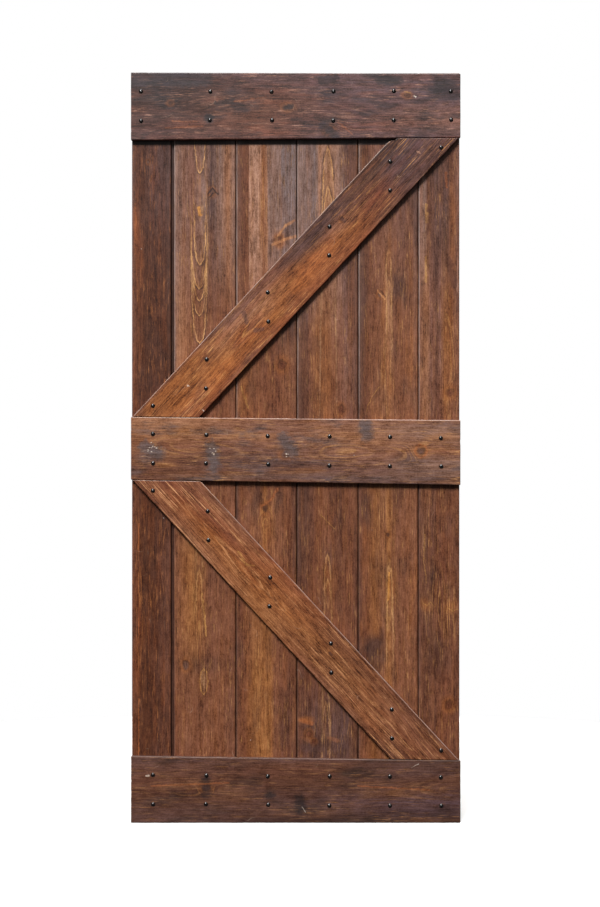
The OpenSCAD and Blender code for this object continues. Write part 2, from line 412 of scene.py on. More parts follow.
def surface_level(s, place, look):
    """Brightness of the surface: grain specks, fibres, mottling and bars across the grain.
    Also returns the noises that make it up."""
    parts = [
        ((0.0050, 0.0034, 0.0034), 2, 0.30), ((0.018, 0.0030, 0.0030), 2, 0.28),
        ((0.09, 0.0026, 0.0026), 3, 0.38), ((0.035, 0.014, 0.014), 3, 0.32),
        ((0.007, 0.04, 0.04), 2, 0.05), ((0.16, 0.035, 0.035), 3, 0.24),
    ]
    level, noises = 1.0, []
    for size, detail, swing in parts:
        noise = s.noise(place, size, detail, 0.6)
        noises.append(noise)
        swing *= look["contrast"]
        level = s.fade(noise, 0.28, 0.74, -0.75 * swing, 1.1 * swing) + level
    # The noises' mean lies above the middle of their swing, by this share of the contrast
    rise = 0.2
    return level * (look["lift"] * (1 + rise) / (1 + rise * look["contrast"])), noises


def shade_by(s, colour, level):
    """The colour at a brightness, redder where it is dark."""
    level = level.at_least(0.05)
    shares = {0: level ** 0.8, 1: level, 2: level ** 1.2}
    return s.mix(1.0, colour, s.add("CombineColor", shares), "MULTIPLY")


def scratches_and_chips(s, colour, place):
    """Sparse pale scratches and a few white chips."""
    wander = s.noise(place, (0.11, 0.06, 0.06), 1)
    scratch = s.fade(abs(wander - 0.5), 0.0, 0.004, 1.0, 0.0)
    sparse = s.fade(s.noise(place, (0.05, 0.05, 0.05), 1), 0.64, 0.72)
    colour = s.mix(scratch * sparse * 0.35, colour, tint(SCRATCH))
    cells = s.node("TexVoronoi", {"Vector": place, "Scale": 30.0}).outputs
    lone = s.fade(s.split(Field(s, cells["Color"]))[0], 0.95, 0.96)
    chip = s.fade(Field(s, cells["Distance"]), 0.02, 0.06, 1.0, 0.0)
    return s.mix(chip * lone * 0.7, colour, tint(CHIP))


def toned(s, colour, place, look, tones, inside):
    """The stain with orange, purplish and pale places."""
    glow, shade, light = tones
    amber, dusk, pale = (tint(look[name]) for name in ("amber", "dusk", "pale"))
    strips = s.noise(place, (0.4, 0.012, 0.012), 3)
    colour = s.mix(s.fade(strips, 0.4, 0.7, 0.0, 0.22), colour, amber)
    cloud = s.noise(place, (0.13, 0.045, 0.045), 4, 0.6)
    purple = s.fade(cloud, 0.5, 0.7, 0.0, look["purple"]) + shade
    warm = s.noise(place, (0.2, 0.026, 0.03), 3)
    ember = s.fade(warm, 0.54, 0.72, 0.0, look["ember"]) + glow
    colour = s.mix(ember.at_most(0.9), colour, amber)
    colour = s.mix(purple.at_most(0.9), colour, dusk)
    return s.mix((light + inside).at_most(0.9), colour, pale)


def latewood(s, colour, place, look, lines, arches):
    """Lines of the rings, streaks and arches, which take less of the stain."""
    pale, dark = lines
    gold, dusk = tint(look["gold"]), tint(look["dusk"])
    colour = s.mix((dark * 0.6).at_most(0.7), colour, dusk)
    colour = s.mix(pale.at_most(0.9), colour, gold)
    streaks = s.fade(s.noise(place, (look["dash"], 0.0026, 0.0026), 3), 0.56, 0.68)
    patchy = s.fade(s.noise(place, (0.12, 0.03, 0.03), 2), 0.40, 0.62, 0.2, 1.0)
    colour = s.mix(streaks * patchy * look["streaks"], colour, gold)
    arch, arch_shade = arches
    colour = s.mix(s.math("MULTIPLY", arch_shade, 0.6), colour, dusk)
    return s.mix(s.math("MULTIPLY", arch, 0.85), colour, tint(look["arch"]))


def wear_and_painted_light(s, colour, place, look, u, front, wear_and_light):
    """Painted shadow below the top rail, edges rubbed pale and painted as lit, and grime and painted shade
    where the edge value is below 0.
    """
    # Painted shadow of the top rail on the boards' front faces
    pooled = s.fade(u, look["pooled"], look["pooled"] + 0.002, 0.0, 0.9)
    colour = s.mix(pooled * front, colour, tint(PAINTED_RAIL_SHADOW))
    # Above 0 the edges are rubbed pale and painted as lit; below 0 they take grime and painted shade
    rub_and_light = wear_and_light * s.fade(s.noise(place, (0.05, 0.01, 0.01), 3), 0.3, 0.6, 0.45, 0.9)
    rub_and_light = rub_and_light * s.fade(u, 0.85, 1.6, look["low_edge_light"], 1.0)
    colour = s.mix(rub_and_light.at_least(0.0), colour, tint(look["worn"]))
    return s.mix((wear_and_light * -1.0).at_least(0.0), colour, tint(GRIME_AND_SHADE))


def wood(name, look, grain, span):
    """Stained pine: stripes, rings, knots, specks, scratches, chips, worn edges with painted highlight and
    shade, and a painted shadow below the top rail.
    """
    s = Shader(name)
    place = grain.place(s)
    u, v, _ = s.split(place)
    _, y, _ = s.split(s.add("TexCoord", {}, out="Object"))
    front = s.fade(y, BOARD_FACE + 0.001, BOARD_FACE + 0.006, 1.0, 0.0)
    ripple = s.noise(place, (0.012, 0.009, 0.009), 2)
    drift = s.noise(place, (0.22, 0.06, 0.06), 3) - 0.5
    swell = s.noise(place, (0.022, 0.018, 0.018), 3)
    knots = [(*knot_parts(s, u, v, swell, knot), knot) for knot in look["knots"]]
    rings = ring_field(s, place, look, drift, knots)
    tones = s.split(s.attribute("tone"))
    figure = s.attribute("figure", "Fac") + look["lines"]
    lines = ring_lines(s, place, rings, figure)
    *arches, inside = flames(s, place, drift, ripple, look["flames"])
    wear_and_light = s.attribute("wear_and_light", "Fac")

    colour = stain(s, u, v, drift, span, look["stain"])
    colour = toned(s, colour, place, look, tones, inside)
    colour = latewood(s, colour, place, look, lines, arches)
    colour = paint_knots(s, colour, knots)
    marked = paint_marks(s, colour, place, ripple, look["marks"])
    colour = s.mix(front, colour, marked)
    level, noises = surface_level(s, place, look)
    colour = shade_by(s, colour, level)
    colour = scratches_and_chips(s, colour, place)
    colour = wear_and_painted_light(s, colour, place, look, u, front, wear_and_light)

    pale = lines[0]
    relief = pale * 0.5 + noises[0] * 0.5 + noises[2] * 0.6
    normal = s.add("Bump", {"Strength": look["relief"], "Distance": 0.0006, "Height": relief})
    uneven = s.fade(s.noise(place, (0.09, 0.03, 0.03), 3), 0.3, 0.7, -0.05, 0.06)
    rough = uneven + look["rough"] + pale * -0.05
    return s.finish(Base_Color=colour, Roughness=rough, Normal=normal, IOR=1.5,
                    Specular_IOR_Level=look["gloss"])


def black_metal(name):
    """Black lacquer on steel, a little dusty, with small brown specks."""
    s = Shader(name)
    place = s.add("TexCoord", {}, out="Object")
    dust = s.noise(place, (0.004, 0.004, 0.004), 4, 0.6)
    colour = s.mix(s.fade(dust, 0.45, 0.75, 0.0, 0.7), tint("#171415"), tint("#3a302c"))
    speck = s.noise(place, (0.0012, 0.0012, 0.0012), 2)
    colour = s.mix(s.fade(speck, 0.66, 0.72, 0.0, 0.5), colour, tint("#7b6656"))
    rough = s.fade(dust, 0.35, 0.7, 0.2, 0.42)
    normal = s.add("Bump", {"Strength": 0.25, "Distance": 0.0002, "Height": speck})
    return s.finish(Base_Color=colour, Roughness=rough, Metallic=0.35, Normal=normal,
                    Coat_Weight=0.7, Coat_Roughness=0.12)


def floor_finish():
    """Plain pale studio floor with a barely uneven colour."""
    s = Shader("studio_floor")
    place = s.add("TexCoord", {}, out="Object")
    cloud = s.noise(place, (0.8, 0.8, 0.8), 3)
    colour = s.mix(s.fade(cloud, 0.3, 0.7), tint("#f6f5f3"), tint("#fbfaf9"))
    return s.finish(Base_Color=colour, Roughness=0.9)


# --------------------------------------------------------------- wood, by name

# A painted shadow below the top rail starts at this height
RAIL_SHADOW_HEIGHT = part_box("top_rail")[0].z - 0.0115
# A height that no piece reaches
NOWHERE = 9.0

# The worn colour goes on edges that are rubbed pale and painted as lit
PLAIN = {
    "gold": "#b4814c", "arch": "#cf9a64", "amber": "#965a30", "dusk": "#482e28", "pale": "#a57b58",
    "worn": "#c9ada0", "ring": 0.0048, "sway": 0.012, "lines": 0.06, "purple": 0.4,
    "ember": 0.2, "rough": 0.42, "gloss": 0.3, "relief": 0.4, "lift": 0.70,
    "streaks": 0.5, "knots": [], "glow": [], "shade": [], "light": [], "figure": [],
    "flames": [], "marks": [], "pooled": NOWHERE, "dash": 0.034, "low_edge_light": 1.0, "contrast": 1.0,
}


def look(**own):
    """How a piece looks: PLAIN, but for what is its own."""
    return {**PLAIN, **own}


def board_look(**own):
    """The look of a board: seam bevels rubbed pale and painted as lit mostly high up, and a painted shadow
    below the top rail.
    """
    return look(**{"low_edge_light": 0.15, "worn": "#b09a92", "pooled": RAIL_SHADOW_HEIGHT, **own})


def ring(u, v, half_u, half_v):
    """A closed path round an oval."""
    turns = np.linspace(0, math.tau, 9)
    return [(u + half_u * math.cos(turn), v + half_v * math.sin(turn)) for turn in turns]


def flecks(u, v, spread, count):
    """A mark of short pale chips scattered round a place."""
    draw = random.Random(count)
    paths = []
    for _ in range(count):
        start = Vector((u + draw.gauss(0, spread), v + draw.gauss(0, spread)))
        way = Vector((draw.uniform(0.001, 0.003), draw.uniform(-0.001, 0.001)))
        paths.append([start, start + way])
    return ("bone", 1.4, 0.7, *paths)


# Lengths are in metres. u and v are height and x on a board, x and height on a rail, and
# on a brace the distances along and across it from its lower corner. By key:
#   stain    (u, "share across the piece and stain, ..."), blended from one u to the next
#   marks    (stain, half width in mm, strength, path, ...)
#   flames   (v, way the tips point, half width, sharpness, fill, strength, [tips' u])
#   heart    (u, v) of the line of the tree's heart, and depth (u, how far behind the face)
#   knots    (u, v, radius, stretch along the grain, kind of core)
#   figure, glow, shade, light: spots (u, v, half length, half width, strength) where the
#            grain shows, or where the wood is orange, dusky or pale
LOOKS = {}

# On the boards the stain stations high up are greyer and more purple: partly the stain, partly a painted
# reflection of the light above
LOOKS["board_1"] = board_look(
    stain=[
        (0.7, "0 russet, 0.2 bark, 0.5 bark, 1 cocoa"),
        (1.5, "0 russet, 0.2 bark, 0.6 bark, 1 bark"),
        (1.9, "0 cocoa, 0.3 umber, 0.5 plum, 1 plum"),
    ],
    marks=[
        ("copper", 2.3, 0.65, [(0.85, -0.448), (0.77, -0.448)], [(0.58, -0.448), (0.51, -0.446)],
            [(0.35, -0.447), (0.19, -0.448)]),
        ("copper", 4.6, 0.5, [(1.76, -0.459), (1.62, -0.457)]),
    ],
    heart=[(0, -0.45), (0.8, -0.445), (1.3, -0.45), (2.134, -0.44)],
    depth=[(0, 0.03), (0.45, 0.012), (0.7, 0.004), (0.9, 0.02), (1.5, 0.012), (1.8, 0.004), (2.134, 0.02)],
    figure=[(0.64, -0.447, 0.28, 0.014, 0.7), (1.66, -0.449, 0.14, 0.012, 0.5)],
    glow=[(1.66, -0.449, 0.14, 0.012, 0.5), (0.56, -0.449, 0.2, 0.01, 0.4)],
    shade=[(1.3, -0.4, 0.12, 0.03, 0.3), (1.68, -0.418, 0.02, 0.012, 0.5)],
    knots=[(1.881, -0.421, 0.004, 1.3, "grey")],
    amber="#8c4a26", gold="#9c6238", streaks=0.8, contrast=1.2, lift=0.67,
)
LOOKS["board_2"] = board_look(
    stain=[
        (0.3, "0 russet, 0.15 chestnut, 0.8 chestnut, 1 cocoa"),
        (0.65, "0 clay, 0.28 amber, 0.42 sienna, 0.55 chestnut, 1 chestnut"),
        (1.4, "0 rose, 0.08 tan, 0.25 clay, 0.48 clay, 0.6 chestnut, 0.75 russet, 0.9 clay, 1 chestnut"),
        (1.75, "0 haze, 0.3 rose, 0.5 haze, 0.6 plum, 0.75 haze, 0.88 tan, 1 haze"),
    ],
    marks=[
        ("honey", 5.4, 0.9, [(1.75, -0.277), (1.73, -0.273)]),
        ("ochre", 2.6, 0.7, [(0.65, -0.267), (0.6, -0.261), (0.53, -0.256)]),
        ("ochre", 1.7, 0.65, ring(0.4, -0.262, 0.037, 0.011)),
        ("char", 2.6, 0.8, [(1.79, -0.25), (1.807, -0.237), (1.79, -0.223)],
            [(1.78, -0.246), (1.792, -0.236)]),
        ("plum", 10, 0.5, [(1.77, -0.24), (1.735, -0.247)]),
    ],
    flames=[(-0.273, -1, 0.0105, 1.8, 0, 1, [1.85, 1.588]),
        (-0.275, -1, 0.014, 1.5, 0, 1, [1.519, 1.485, 1.443, 1.365]),
        (-0.276, 1, 0.007, 5, 0, 0.5, [0.9, 0.72])],
    heart=[(0, -0.27), (0.6, -0.276), (1.2, -0.274), (1.6, -0.2745), (2.134, -0.268)],
    depth=[(0, 0.012), (0.4, 0.004), (0.6, 0.01), (1, 0.02), (1.33, 0.03), (1.6, 0.016), (1.76, 0.006),
        (1.9, 0.009), (2, 0.004), (2.134, 0.016)],
    figure=[(1.6, -0.2745, 0.15, 0.03, 0.4), (0.6, -0.28, 0.16, 0.018, 0.6)],
    shade=[(0.448, -0.25, 0.025, 0.09, 0.4), (1.77, -0.245, 0.03, 0.01, 0.5)],
    light=[(0.402, -0.264, 0.032, 0.006, 0.9), (1.745, -0.268, 0.014, 0.006, 0.8)],
    knots=[(1.795, -0.239, 0.008, 1.2, "grey"), (0.447, -0.313, 0.01, 1.2, "grey")],
    ring=0.0036, sway=0.004, purple=0.2, contrast=1.05,
)
LOOKS["board_3"] = board_look(
    stain=[
        (0.35, "0 cocoa, 0.12 russet, 0.25 sienna, 0.32 amber, 0.56 amber, 0.63 chestnut, 0.8 russet, "
         "1 cocoa"),
        (0.85, "0 umber, 0.08 russet, 0.2 chestnut, 0.26 clay, 0.4 chestnut, 0.46 amber, 0.53 russet, "
         "0.62 clay, 0.85 russet, 1 umber"),
        (1.3, "0 sienna, 0.45 russet, 0.72 russet, 0.82 clay, 1 chestnut"),
        (1.42, "0 russet, 0.1 clay, 0.22 russet, 0.24 tan, 0.28 russet, 0.46 chestnut, 0.5 tan, "
         "0.54 russet, 0.76 umber, 1 umber"),
        (1.66, "0 cocoa, 0.2 russet, 0.215 sand, 0.42 sand, 0.44 clay, 0.5 tan, 0.53 haze, 0.73 haze, "
         "0.75 mauve, 1 mauve"),
    ],
    marks=[
        ("peach", 4.8, 0.55, [(1.66, -0.056), (1.68, -0.043), (1.7, -0.028), (1.713, -0.005)],
            [(1.645, -0.066), (1.66, -0.033), (1.67, 0)]),
        ("peat", 6, 0.5, [(1.655, -0.068), (1.667, -0.045)], [(0.96, -0.11), (0.91, -0.096)]),
        ("copper", 4, 0.6, [(0.9, -0.096), (0.92, -0.068), (0.95, -0.053)]),
        ("ochre", 3, 0.5, [(1.24, -0.156), (1.18, -0.136)]),
    ],
    heart=[(0, -0.1), (0.9, -0.085), (1.3, -0.06), (2.134, -0.095)],
    depth=[(0, 0.02), (0.35, 0.006), (0.7, 0.03), (0.88, 0.004), (1.1, 0.03), (1.5, 0.02), (1.8, 0.006),
        (2.134, 0.01)],
    figure=[(0.86, -0.085, 0.09, 0.03, 0.6), (1.78, -0.095, 0.2, 0.014, 0.5),
        (0.3, -0.096, 0.2, 0.02, 0.4)],
    glow=[(1.66, -0.04, 0.025, 0.022, 0.7), (1.211, -0.145, 0.05, 0.01, 0.9),
        (0.85, -0.084, 0.05, 0.016, 0.8), (1.8, -0.095, 0.2, 0.006, 0.6)],
    shade=[(0.92, -0.115, 0.05, 0.016, 0.6), (0.92, -0.05, 0.04, 0.012, 0.6),
        (1.69, -0.022, 0.03, 0.012, 0.6), (0.27, -0.035, 0.08, 0.02, 0.6)],
    knots=[(1.655, -0.048, 0.008, 1.5, "red"), (1.302, -0.039, 0.012, 1.2, "red"),
        (0.895, -0.088, 0.008, 1.6, "dark")],
    contrast=1.1,
)
LOOKS["board_4"] = board_look(
    stain=[
        (0.25, "0 cocoa, 0.3 plum, 0.8 plum, 1 umber"),
        (0.5, "0 cocoa, 0.3 russet, 0.5 chestnut, 0.7 russet, 1 cocoa"),
        (0.85, "0 umber, 0.1 umber, 0.2 cocoa, 0.35 russet, 0.45 chestnut, 0.6 russet, 0.7 cocoa, "
         "0.9 russet, 1 umber"),
        (1.3, "0 umber, 0.17 cocoa, 0.21 chestnut, 0.4 sienna, 0.65 chestnut, 0.8 rose, 1 cocoa"),
        (1.75, "0 haze, 0.28 mauve, 0.33 haze, 0.36 sand, 0.6 sand, 0.72 haze, 0.8 plum, 0.93 cocoa, "
         "1 umber"),
    ],
    marks=[
        ("ochre", 1.1, 0.5, [(0.875, 0.072), (0.835, 0.11)]),
        ("copper", 7.4, 0.6, [(0.29, 0.015), (0.28, 0.046)]),
        ("clay", 6.5, 0.6, [(0.24, 0.02), (0.23, 0.04)], [(0.24, 0.095), (0.23, 0.12)]),
        ("plum", 14, 0.5, [(0.21, 0.025), (0.215, 0.14)]),
    ],
    flames=[(0.093, 1, 0.0155, 5, 0.5, 1, [1.923, 1.812]), (0.091, 1, 0.008, 5, 0, 0.5, [0.76, 0.69]),
        (0.085, 1, 0.009, 5, 0, 0.4, [0.43, 0.34])],
    heart=[(0, 0.092), (0.7, 0.092), (1.2, 0.11), (1.8, 0.095), (2.134, 0.097)],
    depth=[(0, 0.02), (0.28, 0.004), (0.42, 0.016), (0.56, 0.012), (0.7, 0.003), (0.95, 0.03), (1.5, 0.04),
        (1.7, 0.01), (1.8, 0.002), (1.93, 0.014), (2.134, 0.03)],
    figure=[(0.67, 0.092, 0.12, 0.022, 0.4), (0.32, 0.092, 0.12, 0.024, 0.4)],
    glow=[(1.82, 0.095, 0.1, 0.012, 0.5), (0.69, 0.092, 0.05, 0.012, 0.6), (0.291, 0.032, 0.01, 0.022, 0.8),
        (1.3, 0.08, 0.2, 0.02, 0.4)],
    shade=[(0.215, 0.098, 0.03, 0.08, 0.5)],
    knots=[(1.174, 0.129, 0.01, 1.3, "red"), (0.25, 0.037, 0.008, 1.2, "red"),
        (0.228, 0.052, 0.006, 1.2, "red")],
    ring=0.0036, sway=0.004,
)
LOOKS["board_5"] = board_look(
    stain=[
        (0.8, "0 cocoa, 0.1 russet, 0.27 sienna, 0.42 clay, 0.5 amber, 0.6 chestnut, 0.9 clay, 1 chestnut"),
        (1.4, "0 umber, 0.14 cocoa, 0.22 chestnut, 0.38 clay, 0.5 tan, 0.6 chestnut, 1 clay"),
        (1.85, "0 umber, 0.16 cocoa, 0.24 rose, 0.5 rose, 1 plum"),
    ],
    marks=[
        ("peach", 2.6, 0.8, [(1.515, 0.233), (1.49, 0.254)]),
        ("peat", 2.3, 0.7, [(1.517, 0.24), (1.497, 0.257)]),
        ("ochre", 1, 0.5, [(1.16, 0.2), (1.19, 0.206), (1.21, 0.217), (1.24, 0.237)]),
        ("honey", 3.4, 0.7, [(0.71, 0.266), (0.63, 0.264)]),
    ],
    flames=[(0.266, 1, 0.006, 5, 0.3, 0.6, [1.63, 1.54]), (0.269, 1, 0.007, 5, 0.3, 0.6, [0.73, 0.66])],
    heart=[(0, 0.255), (0.6, 0.268), (1.3, 0.262), (2.134, 0.25)],
    depth=[(0, 0.03), (0.45, 0.02), (0.66, 0.003), (0.85, 0.018), (1.2, 0.008), (1.5, 0.004), (1.7, 0.02),
        (2.134, 0.03)],
    figure=[(0.67, 0.269, 0.1, 0.02, 0.9), (1.3, 0.262, 0.2, 0.016, 0.6), (0.9, 0.24, 0.3, 0.02, 0.4)],
    glow=[(0.67, 0.269, 0.06, 0.014, 0.9), (1.28, 0.263, 0.1, 0.01, 0.6), (1.6, 0.263, 0.08, 0.012, 0.5)],
    shade=[(0.89, 0.205, 0.05, 0.02, 0.6), (0.46, 0.225, 0.06, 0.03, 0.7), (1.52, 0.305, 0.06, 0.03, 0.4),
        (0.504, 0.217, 0.03, 0.03, 0.6)],
    knots=[(1.502, 0.24, 0.006, 1.3, "grey"), (0.818, 0.263, 0.005, 1.3, "dark")],
    ring=0.004, ember=0.45, sway=0.006, contrast=1,
)
LOOKS["board_6"] = board_look(
    stain=[
        (0.7, "0 cocoa, 0.35 cocoa, 0.6 russet, 1 cocoa"),
        (1.4, "0 chestnut, 0.2 tan, 0.3 rose, 0.45 cocoa, 0.52 rose, 0.65 sienna, 0.8 clay, 1 chestnut"),
        (1.75, "0 rose, 0.12 haze, 0.22 cocoa, 0.4 plum, 0.65 plum, 0.8 cocoa, 1 rose"),
    ],
    marks=[
        ("ochre", 1.4, 0.45, [(0.625, 0.363), (0.615, 0.374), (0.627, 0.385), (0.615, 0.394)],
            [(0.61, 0.434), (0.6, 0.448), (0.607, 0.462)], [(0.82, 0.368), (0.75, 0.364), (0.68, 0.374)]),
        ("ochre", 4.2, 0.5, [(1.76, 0.371), (1.71, 0.373)], [(1.61, 0.371), (1.54, 0.371)]),
        ("peat", 13, 0.6, [(1.6, 0.437), (1.53, 0.45)]),
        ("sand", 1.7, 0.5, [(1.61, 0.462), (1.51, 0.461)]),
        ("copper", 4.3, 0.6, [(1.85, 0.428), (1.81, 0.43)]),
    ],
    heart=[(0, 0.44), (0.6, 0.41), (1.3, 0.43), (2.134, 0.42)],
    depth=[(0, 0.03), (0.5, 0.01), (0.62, 0.003), (0.9, 0.03), (1.22, 0.012), (1.6, 0.04), (2.134, 0.03)],
    figure=[(0.6, 0.41, 0.1, 0.05, 0.7), (1.35, 0.442, 0.15, 0.014, 0.6)],
    glow=[(1.71, 0.448, 0.13, 0.008, 0.6), (1.38, 0.442, 0.14, 0.008, 0.6),
        (0.618, 0.374, 0.02, 0.016, 0.7), (0.613, 0.442, 0.02, 0.018, 0.7)],
    shade=[(0.476, 0.4, 0.07, 0.035, 0.6), (0.7, 0.39, 0.03, 0.012, 0.6)],
    light=[(0.8, 0.366, 0.04, 0.004, 0.5)],
    knots=[(1.222, 0.44, 0.011, 1.2, "red"), (0.333, 0.437, 0.011, 1.2, "red")],
    ring=0.005, contrast=1.15, pooled=NOWHERE,
)
LOOKS["top_rail"] = look(
    stain=[
        (-0.4, "0 wine, 0.5 bark, 0.85 soot, 1 soot"),
        (-0.1, "0 wine, 0.2 cocoa, 0.6 cocoa, 0.85 wine, 1 grape"),
        (0.15, "0 grape, 0.5 wine, 0.7 grape, 1 grape"),
        (0.42, "0 grape, 0.3 rose, 0.6 grape, 0.85 grape, 1 wine"),
    ],
    marks=[
        ("smoke", 28, 0.7, [(-0.45, 2.11), (-0.26, 2.115)]),
        ("char", 17, 0.7, [(0.075, 2.11), (0.11, 2.115)], [(0.24, 2.11), (0.29, 2.11)]),
        ("smoke", 34, 0.6, [(0.41, 2.105), (0.445, 2.077)]),
        ("char", 14, 0.8, [(-0.246, 2.004), (-0.245, 2)]),
        ("char", 9.7, 0.75, [(-0.225, 2.046), (-0.18, 2.05)], [(-0.03, 2.034), (-0.013, 2.036)]),
        ("smoke", 18, 0.75, [(0.08, 1.98), (0.11, 1.955)]),
        ("copper", 3.1, 0.38, [(-0.37, 1.975), (-0.265, 1.98)], [(-0.35, 1.995), (-0.28, 1.992)]),
        ("copper", 2.8, 0.4, [(-0.175, 2.05), (-0.085, 2.063)], [(0.12, 1.992), (0.16, 1.958)]),
        ("bone", 2.8, 0.9, [(0.337, 2.067), (0.341, 2.064)]),
        ("ochre", 2, 0.4, [(0.308, 2.08), (0.325, 2.074)]),
    ],
    heart=[(-0.47, 2.01), (-0.1, 2.06), (0.2, 2), (0.47, 2.05)],
    depth=[(-0.47, 0.03), (-0.25, 0.008), (-0.05, 0.02), (0.1, 0.006), (0.47, 0.04)],
    figure=[(-0.15, 2.05, 0.25, 0.03, 0.15), (0.14, 1.99, 0.06, 0.04, 0.4)],
    glow=[(-0.144, 2.051, 0.13, 0.01, 0.6), (-0.314, 1.989, 0.06, 0.012, 0.6)],
    shade=[(0.262, 2.111, 0.03, 0.02, 0.8), (0.418, 2.09, 0.04, 0.025, 0.8),
        (-0.246, 2.003, 0.016, 0.012, 0.8), (0.095, 1.972, 0.022, 0.02, 0.8),
        (-0.022, 2.034, 0.02, 0.01, 0.6), (-0.38, 2.06, 0.14, 0.09, 0.5)],
    knots=[(-0.357, 2.046, 0.006, 1.2, "dark"), (-0.022, 2.034, 0.008, 1.6, "dark"),
        (0.095, 1.969, 0.009, 1.3, "dark"), (0.316, 2.069, 0.007, 1.4, "dark")],
    amber="#854a33", dusk="#33282c", gold="#b3826a", worn="#4a352f", lines=0.05, ring=0.006, sway=0.02,
    purple=0.8, ember=0.5, relief=0.5, streaks=0.7, contrast=1.5, gloss=0.5, lift=0.67,
)
LOOKS["middle_rail"] = look(
    stain=[
        (-0.38, "0 chestnut, 0.3 cocoa, 0.6 clay, 0.85 tan, 1 tan"),
        (-0.05, "0 chestnut, 0.3 plum, 0.6 rose, 0.85 rose, 1 clay"),
        (0.15, "0 plum, 0.4 rose, 0.7 tan, 1 rose"),
        (0.4, "0 plum, 0.3 haze, 0.5 clay, 0.8 haze, 1 clay"),
    ],
    marks=[
        ("slate", 21, 0.75, [(-0.43, 1.07), (-0.39, 1.05)], [(-0.24, 1.07), (-0.232, 1.015)],
            [(-0.035, 1.095), (-0.01, 1.055)], [(0.197, 1.135), (0.203, 1.1)]),
        flecks(-0.408, 1.065, 0.009, 9),
        flecks(-0.237, 1.057, 0.006, 6),
        flecks(-0.028, 1.046, 0.006, 4),
        ("copper", 2.3, 0.45, ring(0.356, 1.057, 0.018, 0.018)),
    ],
    heart=[(-0.47, 1.09), (-0.1, 1.04), (0.13, 1.06), (0.47, 1.03)],
    depth=[(-0.47, 0.03), (-0.3, 0.01), (-0.05, 0.03), (0.13, 0.003), (0.3, 0.02), (0.47, 0.04)],
    figure=[(0.13, 1.05, 0.08, 0.04, 0.45), (-0.28, 1.08, 0.15, 0.04, 0.4), (0.35, 1.06, 0.08, 0.03, 0.5)],
    glow=[(-0.33, 1.11, 0.06, 0.014, 0.6), (-0.12, 1.1, 0.06, 0.016, 0.5), (0.356, 1.057, 0.03, 0.028, 0.4),
        (0.42, 1.1, 0.05, 0.014, 0.5)],
    shade=[(-0.414, 1.047, 0.04, 0.022, 0.7), (-0.238, 1.046, 0.025, 0.026, 0.7),
        (-0.022, 1.07, 0.035, 0.026, 0.7), (0.197, 1.117, 0.022, 0.02, 0.7), (0.33, 1.03, 0.05, 0.02, 0.6),
        (0, 0.985, 0.4, 0.012, 0.5)],
    knots=[(-0.03, 1.046, 0.01, 1.2, "grey"), (0.356, 1.057, 0.011, 1.1, "grey")],
    amber="#a46c40", dusk="#5e4b49", gold="#bd8a58", lines=0.15, ring=0.005, sway=0.02, purple=0.9,
    ember=0.6, relief=0.5, streaks=0.7, contrast=1.1,
)
LOOKS["bottom_rail"] = look(
    stain=[
        (-0.3, "0 plum, 0.4 umber, 0.6 cocoa, 1 plum"),
        (0.05, "0 soot, 0.25 plum, 0.6 umber, 0.8 cocoa, 1 plum"),
        (0.35, "0 soot, 0.3 grape, 0.6 umber, 0.8 plum, 1 soot"),
    ],
    marks=[
        ("char", 20, 0.65, [(-0.255, 0.115), (-0.255, 0.086)], [(0.01, 0.068), (0.015, 0.04)]),
        ("char", 10, 0.6, [(-0.08, 0.077), (-0.065, 0.08)]),
        ("bone", 1, 0.4, [(0.018, 0.046), (0.028, 0.03)], [(0.33, 0.158), (0.35, 0.168)]),
        ("bone", 2.3, 0.8, [(-0.425, 0.134), (-0.417, 0.134)]),
        ("copper", 2.6, 0.4, [(-0.41, 0.105), (-0.19, 0.114)], [(0.177, 0.105), (0.38, 0.094)]),
    ],
    heart=[(-0.47, 0.1), (-0.2, 0.09), (0.1, 0.07), (0.47, 0.1)],
    depth=[(-0.47, 0.02), (-0.25, 0.006), (0, 0.012), (0.25, 0.03), (0.47, 0.01)],
    figure=[(-0.28, 0.1, 0.1, 0.04, 0.5), (0.3, 0.09, 0.15, 0.03, 0.5)],
    glow=[(-0.31, 0.108, 0.05, 0.01, 0.6), (0.311, 0.094, 0.13, 0.012, 0.5)],
    shade=[(-0.255, 0.1, 0.016, 0.03, 0.8), (-0.073, 0.08, 0.016, 0.016, 0.6),
        (0.012, 0.051, 0.016, 0.026, 0.7), (0.15, 0.14, 0.06, 0.02, 0.4)],
    knots=[(-0.255, 0.1, 0.01, 1.2, "dark")],
    amber="#6e4630", dusk="#33231f", gold="#8f6340", worn="#6e564c", lines=0.15, ring=0.0055, sway=0.02,
    purple=0.6, ember=0.4, relief=0.5, streaks=0.7,
)
